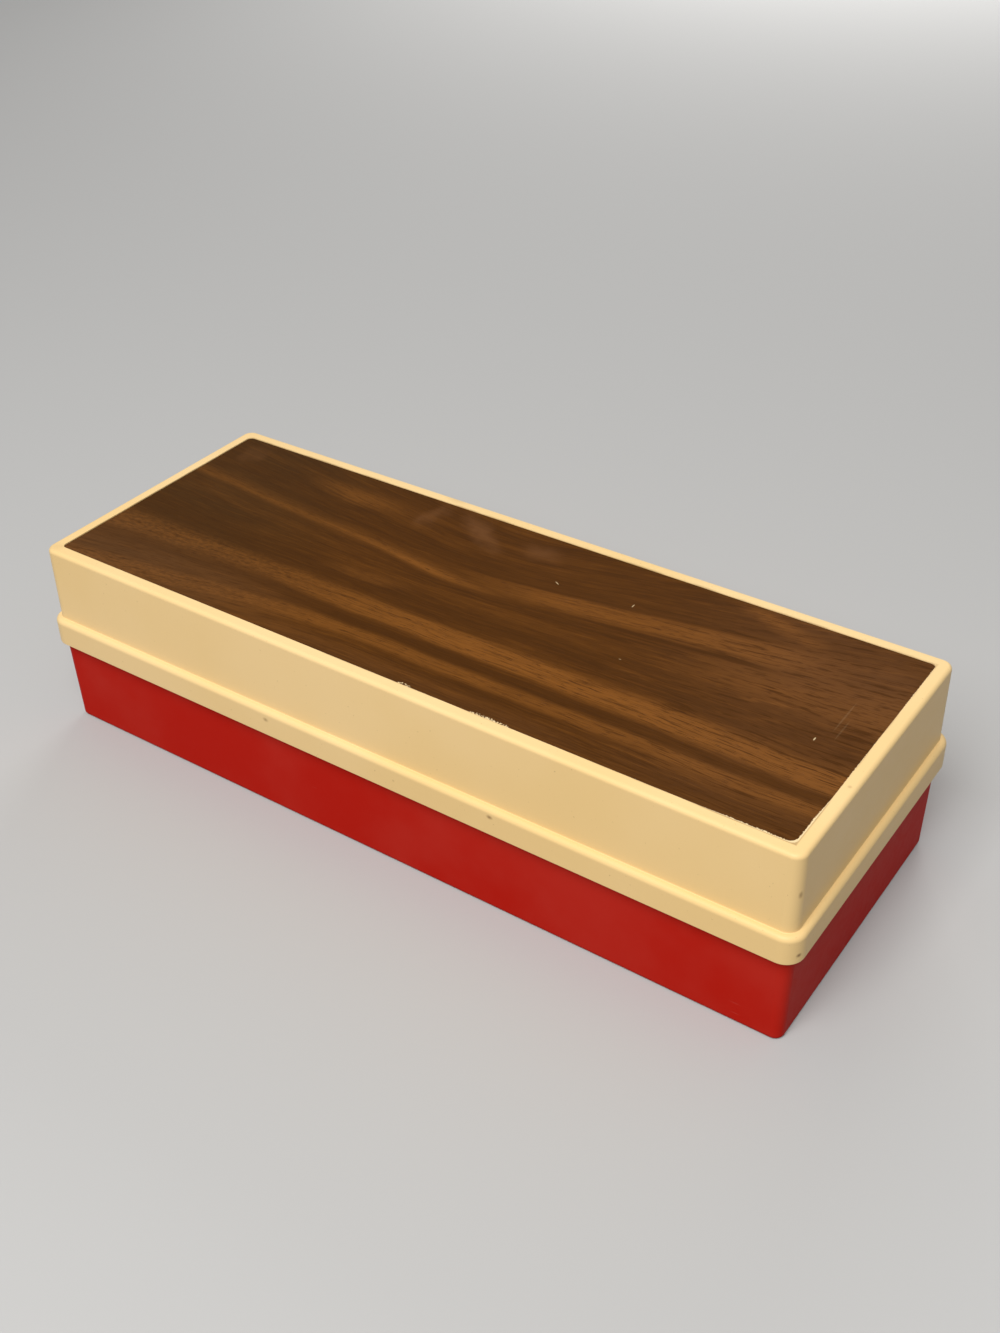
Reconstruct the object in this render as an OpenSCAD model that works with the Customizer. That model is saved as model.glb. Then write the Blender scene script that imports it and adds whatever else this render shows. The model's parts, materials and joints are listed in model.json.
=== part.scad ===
// Two-player fleet guessing game in a long lift-lid case.
// The red base and the ivory lid are each one player's half: both hold two ten by ten peg
// boards and a peg tray. Closed, the case is lid on base, with both fleets parked in the base.
// Millimetres. X runs along the case, Y towards the back, Z up from the table.

/* [Case] */
// Length of the case walls where base and lid meet
case_length = 360.5; // [350:0.5:380]
// Width of the case walls where base and lid meet
case_width = 133; // [130:0.5:150]
// Height of the closed case, from the table to the lid's rim
case_height = 89.5; // [86:0.5:100]
// Wall, floor and top thickness of both case halves
wall = 2.4; // [2:0.1:3]
// Outside radius of the upright corners where base and lid meet
corner_radius = 5; // [4.5:0.5:8]

/* [Lid] */
// Height of the skirt's lower edge above the table
skirt_bottom = 42; // [38:0.5:44]
// Height of the skirt, the stepped-out band that laps over the base
skirt_height = 12.6; // [10:0.2:13]
// Thickness of the skirt and of the shoulder that carries it
skirt_wall = 2.4; // [2:0.1:3]
// Gap between the skirt and the base wall, each side
skirt_clearance = 0.35; // [0.2:0.05:0.6]
// How far the lid wall leans in from the shoulder to the rim, each side
lid_draft = 0.25; // [0:0.05:0.6]
// Width of the rim round the woodgrain panel
rim_width = 5.4; // [4:0.1:8]
// Radius of the rim's outer top edge
rim_radius = 1.8; // [0.5:0.1:2.2]
// Radius of the skirt's outer top edge
skirt_radius = 2.3; // [0.5:0.1:2.5]

/* [Woodgrain panel] */
// Thickness of the woodgrain laminate
panel_thickness = 0.6; // [0.4:0.1:1.2]
// Depth of the laminate's face below the rim
panel_sunk = 0.4; // [0.2:0.1:0.8]
// Gap between the laminate and its recess, each side
panel_clearance = 0.15; // [0.1:0.05:0.4]
// Corner radius of the recess
panel_radius = 2.5; // [1:0.5:5]

/* [Base] */
// How far the base wall leans in from the rim to the table, each side
base_draft = 1; // [0.4:0.1:1.6]
// Radius of the base's bottom edge
base_radius = 1.6; // [0.5:0.1:2]

/* [Peg boards] */
// Holes along each side of a board
grid_holes = 10; // [8:1:10]
// Distance from hole to hole
hole_pitch = 11; // [10.4:0.1:11.2]
// Radius of a peg hole
hole_radius = 1.3; // [1.25:0.05:1.5]
// Thickness of a board
board_thickness = 2.4; // [2:0.1:3]
// Depth of a board's face below the rim of its case half
board_depth = 13.8; // [13:0.1:16]
// Gap between a board and the case wall
board_clearance = 0.3; // [0.2:0.05:0.6]

/* [Peg tray] */
// Length between the two boards, which the tray fills
tray_bay = 100; // [90:1:104]
// Gap between the tray and each board
tray_clearance = 0.3; // [0.2:0.05:0.6]
// Thickness of the tray's walls, floor and divider
tray_wall = 1.8; // [1.4:0.1:2.4]
// Radius of the upright corners of the tray's pockets
pocket_radius = 2; // [1:0.5:4]
// Room between the lid's top and the tray that hangs under it
tray_headroom = 3.9; // [3:0.1:6]
// Gap between the rims of the two trays when the case is closed
tray_rim_gap = 0.4; // [0.2:0.1:1]
// Width of the flanges that lie on the boards
flange_width = 9.5; // [9:0.1:10]
// Thickness of the flanges
flange_thickness = 1.8; // [1.4:0.1:2.4]
// Width of the pocket for the hit pegs
hit_width = 40; // [30:1:55]

/* [Screws] */
// Radius of a screw's thread
screw_radius = 1.3; // [1:0.05:1.5]
// Radius of a screw's head
screw_head_radius = 2.5; // [2.2:0.1:3]
// Height of a screw's head
screw_head_height = 1.5; // [1.2:0.1:2]
// Width of the cross slots in a screw's head
screw_slot = 0.6; // [0.4:0.1:0.8]
// Length of thread in a post
screw_grip = 7; // [5:0.5:9]
// Gap between a screw and the holes in the boards and flanges
screw_clearance = 0.3; // [0.2:0.05:0.5]
// Radius of the posts under the boards
post_radius = 3.4; // [3:0.1:4]
// Distance of the screws and posts from the board's edges
screw_inset = 4.8; // [4.4:0.1:5]

/* [Pegs] */
// Radius of a peg's shank
peg_radius = 1.15; // [1:0.05:1.2]
// Length of a peg's shank
peg_shank = 8; // [6:0.5:9]
// Radius of a peg's head
peg_head_radius = 2.4; // [2:0.1:2.6]
// Height of a peg's head
peg_head_height = 4; // [3:0.5:5]
// Gap between pegs that lie side by side in the tray
peg_gap = 0.5; // [0.3:0.1:1]
// Gap between a lying peg and the tray's floor
peg_lift = 0.2; // [0.1:0.05:0.4]

/* [Ships] */
// Width of the widest ship across its deck
ship_beam = 9; // [8:0.1:9.6]
// Height of a ship's hull from the board to its deck
ship_hull = 6.4; // [5.5:0.1:7]
// How much shorter a ship is than the squares that it covers
ship_margin = 1.4; // [1:0.1:2]
// Length over which a ship's sides run in to the point of its bow
bow_length = 15; // [12:0.5:17]
// Radius of the pins under a ship
pin_radius = 1.15; // [1:0.05:1.2]
// Length of the pins under a ship
pin_length = 5; // [4:0.5:6]
// Depth of the peg holes in a ship's deck
deck_hole_depth = 4.6; // [4:0.1:5]
// Height of a ship's deckhouse above its deck
deckhouse_height = 2.4; // [1.5:0.1:3]
// Length of a ship's deckhouse, where it doesn't fill the space between two peg holes
deckhouse_length = 4.4; // [3.6:0.1:5]
// Width of a ship's deckhouse
deckhouse_width = 3.6; // [3:0.1:4]
// Height of a ship's bridge above its deck
bridge_height = 4; // [3.2:0.1:4.4]
// Side of a ship's square bridge
bridge_side = 2.4; // [2:0.1:3]
// Height of a ship's masthead above its deck
mast_height = 5.4; // [4.6:0.1:5.6]
// Radius of a mast
mast_radius = 0.45; // [0.4:0.05:0.6]
// Radius of a gun turret
turret_radius = 1.7; // [1.2:0.1:2]
// Height of a gun turret
turret_height = 1.5; // [1.3:0.1:2]
// Radius of a gun barrel
barrel_radius = 0.35; // [0.3:0.05:0.45]
// Reach of a gun barrel from its turret's axis
barrel_reach = 3.4; // [2.6:0.1:3.6]
// Distance between the two barrels of a turret
barrel_spacing = 1.5; // [1.2:0.1:2]
// Thickness of the carrier's flight deck
flight_deck = 1.2; // [1:0.1:1.6]
// How far the flight deck stands out over the carrier's sides
flight_overhang = 0.8; // [0.4:0.1:1.2]
// Width of the carrier's island, at the edge of its flight deck
island_width = 1.6; // [1.2:0.1:1.8]

/* [Hidden] */
$fn = 48;
small_fn = 24;           // fineness of peg holes, pins and other small rounds
join = 0.5;              // how far joined shapes reach into each other
thread_gap = 0.05;       // gap between a screw's thread and its pilot hole
pilot_spare = 2;         // depth of a pilot hole past the screw's tip
tip_radius = 0.3;        // radius of a screw's blunt tip
edge_break = 0.4;        // rounding of moulded edges that a hand touches
hole_rim = 0.8;          // least deck left between a peg hole and what stands on the deck
sub_flat = 0.3;          // how much of the submarine's round hull is cut flat, below and on deck

skirt_top = skirt_bottom + skirt_height;
shoulder = skirt_clearance + skirt_wall;          // how far the skirt's face stands out
skirt_round = min(skirt_radius, shoulder - edge_break);
part_z = skirt_top - skirt_wall;                  // rim of the base, under the lid's shoulder
recess = panel_thickness + panel_sunk;
ceiling_z = case_height - recess - wall;          // underside of the lid's top

// How far the base's wall has leant in at height z
function base_inset(z) = base_draft * (part_z - z) / part_z;

board_face_z = part_z - board_depth;              // playing face of the base's boards
board_under_z = board_face_z - board_thickness;
board_margin = wall + base_inset(board_under_z) + board_clearance;
board_width = case_width - 2 * board_margin;
board_length = (case_length - tray_bay) / 2 - board_margin;
board_x = (tray_bay + board_length) / 2;          // centre of a board
board_corner = max(1, corner_radius - wall);
lid_board_top_z = 2 * part_z - board_under_z;     // the lid's boards hang face down from here

tray_rim_z = part_z - tray_rim_gap / 2;
tray_height = ceiling_z - tray_headroom - part_z - tray_rim_gap / 2;
tray_under_z = tray_rim_z - tray_height;
tray_floor_z = tray_under_z + tray_wall;
tray_length = tray_bay - 2 * tray_clearance;
tray_width = case_width - 2 * (wall + base_inset(tray_under_z) + board_clearance);
tray_corner = pocket_radius + tray_wall / 2;
pocket_length = tray_length - 2 * tray_wall;
miss_width = tray_width - 3 * tray_wall - hit_width;
hit_y = tray_width / 2 - tray_wall - hit_width / 2;
miss_y = -tray_width / 2 + tray_wall + miss_width / 2;

screw_x = [tray_bay / 2 + screw_inset, tray_bay / 2 + board_length - screw_inset];
screw_y = board_width / 2 - screw_inset;
screw_hole_radius = screw_radius + screw_clearance;

peg_length = peg_shank + peg_head_height;
peg_tilt = atan((peg_head_radius - peg_radius) / (peg_shank - edge_break));

// ---------- general shapes ----------

// Flat rectangle with round corners, centred
module rounded_rectangle(length, width, radius) {
  square([length - 2 * radius, width], center = true);
  square([length, width - 2 * radius], center = true);
  for (x = [-1, 1], y = [-1, 1])
    translate([x * (length / 2 - radius), y * (width / 2 - radius)]) circle(radius);
}

// Runs a wall section round a rectangle with round corners.
// The section's x is measured outwards from the axis of the corner, its y is height.
module wall_loop(length, width, radius) {
  cx = length / 2 - radius;
  cy = width / 2 - radius;
  for (corner = [[1, 1, 0], [-1, 1, 90], [-1, -1, 180], [1, -1, 270]])
    translate([corner[0] * cx, corner[1] * cy, 0])
      rotate(corner[2]) rotate_extrude(angle = 90) children();
  for (turn = [0, 180]) rotate(turn) {
    translate([-cx, cy, 0]) rotate([90, 0, 90]) linear_extrude(2 * cx) children();
    translate([cx, cy, 0]) rotate([90, 0, 0]) linear_extrude(2 * cy) children();
  }
}

// The sliver between the corner of +X and +Y and a round that touches both its sides.
// Cut away it rounds an outer edge, and added it fillets an inner one.
module corner_sliver(radius) {
  difference() {
    translate([-join, -join]) square(radius + join);
    translate([radius, radius]) circle(radius);
  }
}

// A block that stands on z, centred in x and y
module block(length, width, height) {
  translate([-length / 2, -width / 2, 0]) cube([length, width, height]);
}

// Turns what is made for the base over into the lid, about the plane where the halves meet
module into_lid() {
  translate([0, 0, 2 * part_z]) rotate([180, 0, 0]) children();
}

// ---------- base tub ----------

module base_wall_section() {
  foot = corner_radius - base_draft;
  difference() {
    polygon([
      [foot, 0], [corner_radius, part_z], [corner_radius - wall, part_z], [foot - wall, 0]
    ]);
    translate([foot, 0]) rotate(90) corner_sliver(base_radius);
    translate([corner_radius, part_z]) rotate(180) corner_sliver(edge_break);
  }
}

module base_tub() {
  floor_inset = base_draft + base_radius;
  floor_corner = max(edge_break, corner_radius - floor_inset);
  color("crimson") {
    wall_loop(case_length, case_width, corner_radius) base_wall_section();
    linear_extrude(wall)
      rounded_rectangle(case_length - 2 * floor_inset, case_width - 2 * floor_inset, floor_corner);
  }
}

// ---------- lid ----------

module lid_wall_section() {
  top_out = corner_radius - lid_draft;
  inside = corner_radius - wall;
  skirt_in = corner_radius + skirt_clearance;
  skirt_face = corner_radius + shoulder;
  difference() {
    union() {
      polygon([
        [inside, part_z], [skirt_face, part_z], [skirt_face, skirt_top],
        [corner_radius, skirt_top], [top_out, case_height],
        [inside - join, case_height], [inside - join, ceiling_z], [inside, ceiling_z]
      ]);
      translate([skirt_in, skirt_bottom]) square([skirt_wall, skirt_height]);
      translate([corner_radius, skirt_top]) corner_sliver(edge_break);
    }
    translate([top_out, case_height]) rotate(180) corner_sliver(rim_radius);
    translate([skirt_face, skirt_top]) rotate(180) corner_sliver(skirt_round);
    translate([skirt_face, skirt_bottom]) rotate(90) corner_sliver(edge_break);
  }
}

module lid_shell() {
  recess_inset = lid_draft + rim_width;
  color("wheat") difference() {
    union() {
      wall_loop(case_length, case_width, corner_radius) lid_wall_section();
      translate([0, 0, ceiling_z]) linear_extrude(case_height - ceiling_z)
        rounded_rectangle(case_length - 2 * wall, case_width - 2 * wall, corner_radius - wall);
    }
    translate([0, 0, case_height - recess]) linear_extrude(recess + join)
      rounded_rectangle(
        case_length - 2 * recess_inset, case_width - 2 * recess_inset, panel_radius
      );
  }
}

module woodgrain_panel() {
  inset = lid_draft + rim_width + panel_clearance;
  color("saddlebrown")
    translate([0, 0, case_height - recess]) linear_extrude(panel_thickness)
      rounded_rectangle(
        case_length - 2 * inset, case_width - 2 * inset, panel_radius - panel_clearance
      );
}

// ---------- posts, boards, trays and screws ----------

// The posts that hold up the boards of a case half, cemented to its floor: one with a pilot
// hole at each screw and three plain ones down the middle of each board
module board_posts(height) {
  for (sx = [-1, 1], sy = [-1, 1], x = screw_x)
    translate([sx * x, sy * screw_y, 0]) difference() {
      cylinder(r = post_radius, h = height);
      translate([0, 0, height - screw_grip - pilot_spare])
        cylinder(r = screw_radius + thread_gap, h = height);
    }
  for (sx = [-1, 1], sy = [-1, 0, 1])
    translate([sx * board_x, sy * screw_y, 0]) cylinder(r = post_radius, h = height);
}

module base_posts() {
  color("crimson") translate([0, 0, wall]) board_posts(board_under_z - wall);
}

module lid_posts() {
  color("wheat") translate([0, 0, ceiling_z]) mirror([0, 0, 1])
    board_posts(ceiling_z - lid_board_top_z);
}

// Place of a row or column of holes, counted from 0, from the middle of the board
function hole_place(index) = (index - (grid_holes - 1) / 2) * hole_pitch;

module peg_board(side) {
  difference() {
    translate([side * board_x, 0, board_under_z]) linear_extrude(board_thickness)
      rounded_rectangle(board_length, board_width, board_corner);
    for (i = [0:grid_holes - 1], j = [0:grid_holes - 1])
      translate([side * board_x + hole_place(i), hole_place(j), board_under_z - join])
        cylinder(r = hole_radius, h = board_thickness + 2 * join, $fn = small_fn);
    for (x = screw_x, sy = [-1, 1])
      translate([side * x, sy * screw_y, board_under_z - join])
        cylinder(r = screw_hole_radius, h = board_thickness + 2 * join);
  }
}

module tray_pocket(y, width) {
  translate([0, y, tray_floor_z]) linear_extrude(tray_height)
    rounded_rectangle(pocket_length, width, pocket_radius);
}

module peg_tray() {
  difference() {
    union() {
      translate([0, 0, tray_under_z]) linear_extrude(tray_height)
        rounded_rectangle(tray_length, tray_width, tray_corner);
      translate([0, 0, board_face_z]) linear_extrude(flange_thickness)
        rounded_rectangle(tray_bay + 2 * flange_width, tray_width, pocket_radius);
    }
    tray_pocket(hit_y, hit_width);
    tray_pocket(miss_y, miss_width);
    for (sx = [-1, 1], sy = [-1, 1])
      translate([sx * screw_x[0], sy * screw_y, board_face_z - join])
        cylinder(r = screw_hole_radius, h = flange_thickness + 2 * join);
  }
}

// A screw whose head's underside is at the origin, through this thickness into its post
module board_screw(through) {
  shank = through + screw_grip;
  translate([0, 0, -shank + screw_radius])
    cylinder(r = screw_radius, h = shank - screw_radius + join);
  translate([0, 0, -shank]) cylinder(r1 = tip_radius, r2 = screw_radius, h = screw_radius);
  difference() {
    cylinder(r = screw_head_radius, h = screw_head_height);
    for (turn = [0, 90]) rotate(turn) translate([0, 0, screw_head_height / 2])
      block(1.3 * screw_head_radius, screw_slot, screw_head_height);
  }
}

// The inner screws hold tray and board, the outer ones hold the board alone
module board_screws() {
  for (sx = [-1, 1], sy = [-1, 1]) {
    translate([sx * screw_x[0], sy * screw_y, board_face_z + flange_thickness])
      board_screw(board_thickness + flange_thickness);
    translate([sx * screw_x[1], sy * screw_y, board_face_z]) board_screw(board_thickness);
  }
}

module base_ocean_board() { color("firebrick") peg_board(-1); }
module base_target_board() { color("firebrick") peg_board(1); }
module base_peg_tray() { color("firebrick") peg_tray(); }
module base_board_screws() { color("silver") board_screws(); }
module lid_ocean_board() { color("wheat") into_lid() peg_board(-1); }
module lid_target_board() { color("wheat") into_lid() peg_board(1); }
module lid_peg_tray() { color("wheat") into_lid() peg_tray(); }
module lid_board_screws() { color("silver") into_lid() board_screws(); }

// ---------- pegs ----------

// A peg that stands on its tip
module peg() {
  rotate_extrude() {
    translate([0, edge_break]) square([peg_radius, peg_shank]);
    polygon([[0, 0], [peg_radius - edge_break, 0], [peg_radius, edge_break], [0, edge_break]]);
    translate([0, peg_shank]) difference() {
      square([peg_head_radius, peg_head_height]);
      translate([peg_head_radius, peg_head_height]) rotate(180) corner_sliver(peg_head_radius / 2);
    }
  }
}

// A peg lying along X, leant so that its tip and the edge of its head are as low
module lying_peg() {
  axis_z = peg_lift + peg_radius * cos(peg_tilt) - edge_break * sin(peg_tilt);
  translate([-peg_length / 2, 0, axis_z]) rotate([0, 90 - peg_tilt, 0]) peg();
}

// Pegs laid in rows over the floor of a pocket, head to tip in turn
module laid_pegs(y, width) {
  across = 2 * peg_head_radius + peg_gap;
  along = peg_length + peg_gap;
  columns = floor((pocket_length - peg_gap) / along);
  rows = floor((width - peg_gap) / across);
  for (i = [0:columns - 1], j = [0:rows - 1])
    translate([(i - (columns - 1) / 2) * along, y + (j - (rows - 1) / 2) * across, tray_floor_z])
      rotate((i + j) % 2 * 180) lying_peg();
}

module hit_pegs() { color("red") laid_pegs(hit_y, hit_width); }
module miss_pegs() { color("white") laid_pegs(miss_y, miss_width); }

// ---------- ships ----------
// A ship is drawn with its bow towards +X, its middle over the origin and its keel at z 0.

function ship_length(holes) = holes * hole_pitch - ship_margin;

// Place of a peg hole in the deck, counted from the stern, from the middle of the ship
function deck_hole_x(index, holes) = (index - (holes - 1) / 2) * hole_pitch;

// One side of a ship's waterline: straight from the stern, then a round that runs in to the bow
module ship_side(length, beam) {
  bend = (bow_length * bow_length + beam * beam / 4) / beam;
  translate([-length / 2, -beam / 2]) square([length - bow_length, beam]);
  translate([length / 2 - bow_length, bend - beam / 2]) circle(bend, $fn = 96);
}

module ship_body(length, beam, height) {
  linear_extrude(height) intersection() {
    rounded_rectangle(length, beam, beam / 3);
    ship_side(length, beam);
    mirror([0, 1]) ship_side(length, beam);
  }
}

module deck_holes(holes) {
  for (i = [0:holes - 1])
    translate([deck_hole_x(i, holes), 0, ship_hull - deck_hole_depth])
      cylinder(r = hole_radius, h = deck_hole_depth + mast_height, $fn = small_fn);
}

// The pins under the ship's first and last peg hole
module ship_pins(holes) {
  for (i = [0, holes - 1])
    translate([deck_hole_x(i, holes), 0, -pin_length])
      cylinder(r = pin_radius, h = pin_length + join, $fn = small_fn);
}

// Deckhouse with bridge and mast
module deckhouse(x, y, length, width) {
  translate([x, y, ship_hull - join]) {
    block(length, width, deckhouse_height + join);
    block(bridge_side, min(bridge_side, width), bridge_height + join);
    cylinder(r = mast_radius, h = mast_height + join, $fn = small_fn);
  }
}

// Gun turret whose two barrels point forwards (1) or aft (-1)
module turret(x, facing) {
  barrel_z = ship_hull + barrel_radius + edge_break;
  translate([x, 0, ship_hull - join]) cylinder(r = turret_radius, h = turret_height + join);
  for (side = [-1, 1])
    translate([x, side * barrel_spacing / 2, barrel_z]) rotate([0, facing * 90, 0])
      cylinder(r = barrel_radius, h = barrel_reach, $fn = small_fn);
}

module carrier() {
  length = ship_length(5);
  deck_under = ship_hull - flight_deck;
  difference() {
    union() {
      ship_body(length, ship_beam - 2 * flight_overhang, deck_under);
      translate([0, 0, deck_under - join]) linear_extrude(flight_deck + join)
        rounded_rectangle(length, ship_beam, 2 * flight_overhang);
      deckhouse(hole_pitch / 2, (ship_beam - island_width) / 2, deckhouse_length, island_width);
    }
    deck_holes(5);
  }
  ship_pins(5);
}

module battleship() {
  difference() {
    union() {
      ship_body(ship_length(4), ship_beam, ship_hull);
      deckhouse(0, 0, hole_pitch - 2 * (hole_radius + hole_rim), deckhouse_width);
      turret(hole_pitch, 1);
      turret(-hole_pitch, -1);
    }
    deck_holes(4);
  }
  ship_pins(4);
}

module cruiser() {
  difference() {
    union() {
      ship_body(ship_length(3), ship_beam - 2 * edge_break, ship_hull);
      deckhouse(-hole_pitch / 2, 0, deckhouse_length, deckhouse_width);
      turret(hole_pitch / 2, 1);
    }
    deck_holes(3);
  }
  ship_pins(3);
}

module submarine() {
  radius = ship_hull / 2 + sub_flat;
  tube = ship_length(3) - 2 * radius;
  difference() {
    union() {
      intersection() {
        translate([0, 0, ship_hull / 2]) {
          rotate([0, 90, 0]) cylinder(r = radius, h = tube, center = true);
          for (side = [-1, 1]) translate([side * tube / 2, 0, 0]) sphere(r = radius);
        }
        block(ship_length(3), 2 * radius, ship_hull);
      }
      deckhouse(hole_pitch / 2, 0, deckhouse_length, bridge_side);
    }
    deck_holes(3);
  }
  ship_pins(3);
}

module destroyer() {
  difference() {
    union() {
      ship_body(ship_length(2), ship_beam - 4 * edge_break, ship_hull);
      deckhouse(0, 0, deckhouse_length, deckhouse_width);
    }
    deck_holes(2);
  }
  ship_pins(2);
}

// Parks a ship on a board of the base, its stern over this column, counted from the left,
// and this row, counted from the back
module park(side, holes, column, row) {
  middle = hole_place(column) + (holes - 1) / 2 * hole_pitch;
  translate([side * board_x + middle, hole_place(grid_holes - 1 - row), board_face_z]) children();
}

module home_carrier() { color("slategray") park(-1, 5, 1, 0) carrier(); }
module home_battleship() { color("slategray") park(-1, 4, 2, 1) battleship(); }
module home_cruiser() { color("slategray") park(-1, 3, 1, 2) cruiser(); }
module home_submarine() { color("slategray") park(-1, 3, 4, 3) submarine(); }
module home_destroyer() { color("slategray") park(-1, 2, 2, 4) destroyer(); }
module away_carrier() { color("lightslategray") park(1, 5, 1, 0) carrier(); }
module away_battleship() { color("lightslategray") park(1, 4, 2, 1) battleship(); }
module away_cruiser() { color("lightslategray") park(1, 3, 1, 2) cruiser(); }
module away_submarine() { color("lightslategray") park(1, 3, 4, 3) submarine(); }
module away_destroyer() { color("lightslategray") park(1, 2, 2, 4) destroyer(); }

base_tub();
base_posts();
base_ocean_board();
base_target_board();
base_peg_tray();
base_board_screws();
lid_shell();
woodgrain_panel();
lid_posts();
lid_ocean_board();
lid_target_board();
lid_peg_tray();
lid_board_screws();
hit_pegs();
miss_pegs();
home_carrier();
home_battleship();
home_cruiser();
home_submarine();
home_destroyer();
away_carrier();
away_battleship();
away_cruiser();
away_submarine();
away_destroyer();
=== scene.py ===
"""Finishes, printed boards and studio for a two-player fleet guessing case.

The case is a red base tub under an ivory lift-off lid with a woodgrain top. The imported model
gives every moulded part. This script gives them their finishes, adds the print on the four
peg boards, and sets the camera, floor and lamps.
"""
import json
import math

import bmesh
import bpy
from bpy.props import FloatProperty, FloatVectorProperty, PointerProperty
from mathutils import Matrix, Vector


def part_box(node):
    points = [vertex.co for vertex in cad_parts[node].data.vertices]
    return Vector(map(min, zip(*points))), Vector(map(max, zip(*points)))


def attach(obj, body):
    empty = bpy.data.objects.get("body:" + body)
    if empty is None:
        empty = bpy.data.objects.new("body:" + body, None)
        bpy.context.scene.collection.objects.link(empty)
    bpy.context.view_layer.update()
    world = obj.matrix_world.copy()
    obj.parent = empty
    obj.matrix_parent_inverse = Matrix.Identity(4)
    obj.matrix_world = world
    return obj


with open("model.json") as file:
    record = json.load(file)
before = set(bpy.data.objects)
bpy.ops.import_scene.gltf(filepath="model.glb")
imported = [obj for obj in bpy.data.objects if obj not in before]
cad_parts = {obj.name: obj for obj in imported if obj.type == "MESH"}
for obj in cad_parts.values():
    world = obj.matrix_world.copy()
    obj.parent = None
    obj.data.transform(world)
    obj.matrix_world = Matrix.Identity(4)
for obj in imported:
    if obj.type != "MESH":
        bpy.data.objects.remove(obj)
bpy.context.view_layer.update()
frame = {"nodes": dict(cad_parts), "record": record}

bl_info = {
    "name": "Fleet guessing case",
    "version": (1, 0, 0),
    "blender": (4, 5, 0),
    "location": "View3D > Sidebar > Fleet case",
    "description": "Finishes and printed boards for a two-player fleet guessing case",
    "category": "Object",
}

HALVES = ("base", "lid")
FLEETS = ("home", "away")
SHIPS = ("carrier", "battleship", "cruiser", "submarine", "destroyer")
GRID_HOLES = 10
CAMERA_FRAME = 36.0  # longer side of the camera's frame, in millimetres


# ---------- values that a user would change ----------

def colour(name, description, default):
    return FloatVectorProperty(
        name=name, description=description, subtype="COLOR", size=3, min=0, max=1, default=default
    )


def length(name, description, default):
    return FloatProperty(
        name=name, description=description, unit="LENGTH", min=0, precision=5, default=default
    )


def position(name, description, default):
    return FloatVectorProperty(
        name=name, description=description, subtype="TRANSLATION", default=default
    )


def number(name, description, default, unit="NONE"):
    return FloatProperty(name=name, description=description, unit=unit, min=0, default=default)


class CasePlastics(bpy.types.PropertyGroup):
    """Colours and surface of the moulded plastics."""

    ivory: colour("Ivory", "Lid, its boards and its tray", (0.83, 0.59, 0.285))
    ivory_aged: colour("Aged ivory", "Ivory where it has yellowed most", (0.8, 0.555, 0.245))
    stain: colour("Stain", "Small brown spots on the ivory", (0.2, 0.1, 0.035))
    red: colour("Red", "Base, its boards and its tray", (0.45, 0.0105, 0.0045))
    red_scuffed: colour("Scuffed red", "Red where it is rubbed or scratched", (0.5, 0.045, 0.03))
    ship_grey: colour("Ship grey", "Ships of the home fleet", (0.16, 0.185, 0.205))
    ship_blue: colour("Ship blue", "Ships of the away fleet", (0.1, 0.15, 0.21))
    hit_peg: colour("Hit peg", "Pegs that mark a hit", (0.62, 0.02, 0.014))
    miss_peg: colour("Miss peg", "Pegs that mark a miss", (0.8, 0.78, 0.7))
    screw: colour("Screw", "Zinc plated screws", (0.58, 0.57, 0.52))
    edge_round: length("Edge rounding", "Rounding that moulded edges show", 0.00025)
    screw_round: length("Screw rounding", "Rounding that the screws' edges show", 0.00012)
    ripple: length("Ripple", "Relief of the large moulded faces", 0.00006)
    small_ripple: length("Small ripple", "Relief of ships, pegs and screws", 0.00003)


class WoodgrainPanel(bpy.types.PropertyGroup):
    """Colours and grain of the laminate in the lid's top."""

    dark: colour("Dark wood", "Heartwood between the streaks", (0.0535, 0.018, 0.0022))
    middle: colour("Middle wood", "Ground colour of the grain", (0.097, 0.0328, 0.0038))
    light: colour("Light wood", "Sapwood bands", (0.208, 0.074, 0.0118))
    pore: colour("Pores", "Fine dark dashes along the grain", (0.034, 0.0105, 0.0016))
    # Greyed wood is painted reflection, a cool haze over the left end of the panel.
    reflection_grey: colour("Greyed wood", "Faded wood at the left end", (0.05, 0.0218, 0.0052))
    # Haze is also painted reflection over the front left of the panel.
    haze_and_reflection: colour("Haze", "Greasy smears and bloom on the face", (0.155, 0.064, 0.022))
    core: colour("Core", "Paper core seen at the cut edge and in nicks", (0.86, 0.665, 0.37))
    # Grime is dirt, and near the panel's front right corner it is also painted shadow of the gap beside
    # the panel.
    grime_and_gap_shade: colour("Grime", "Dirt in the corner between the panel and the rim", (0.3, 0.17, 0.06))
    streak: length("Streak width", "Width of the wide streaks", 0.008)
    fibre: length("Fibre width", "Width of the fine streaks", 0.0009)
    pore_width: length("Pore width", "Width of a pore", 0.0005)
    pore_length: length("Pore length", "Length of a pore along the grain", 0.0055)
    relief: length("Relief", "Depth of the grain and the nicks", 0.00005)
    cut_edge: length("Cut edge", "Usual width of the frayed cut edge", 0.0006)
    cut_round: length("Cut rounding", "Rounding of the print at its front right corner", 0.0042)
    frayed_front: length("Frayed front", "Frayed stretch of the front edge by that corner", 0.04645)
    frayed_end: length("Frayed end", "Frayed stretch of the right edge by that corner", 0.0307)
    frayed_front_fade: length("Frayed front fade", "Length over which the front fraying sets in", 0.022)
    frayed_end_fade: length("Frayed end fade", "Length over which the right fraying sets in", 0.018)
    grime_and_gap_shade_width: length("Grime width", "How far the dirt spreads to either side", 0.0009)


class BoardPrint(bpy.types.PropertyGroup):
    """Grid lines and coordinates on the four boards."""

    line: length("Line width", "Width of the grid's lines", 0.0004)
    relief: length("Relief", "Height of lines and letters over the board", 0.00005)
    letter: length("Letter size", "Height of the letters and numbers", 0.0046)
    letter_gap: length("Letter gap", "From the grid to the middle of the letters", 0.002852)
    pitch: length("Hole pitch", "Distance from peg hole to peg hole", 0.011)


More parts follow.
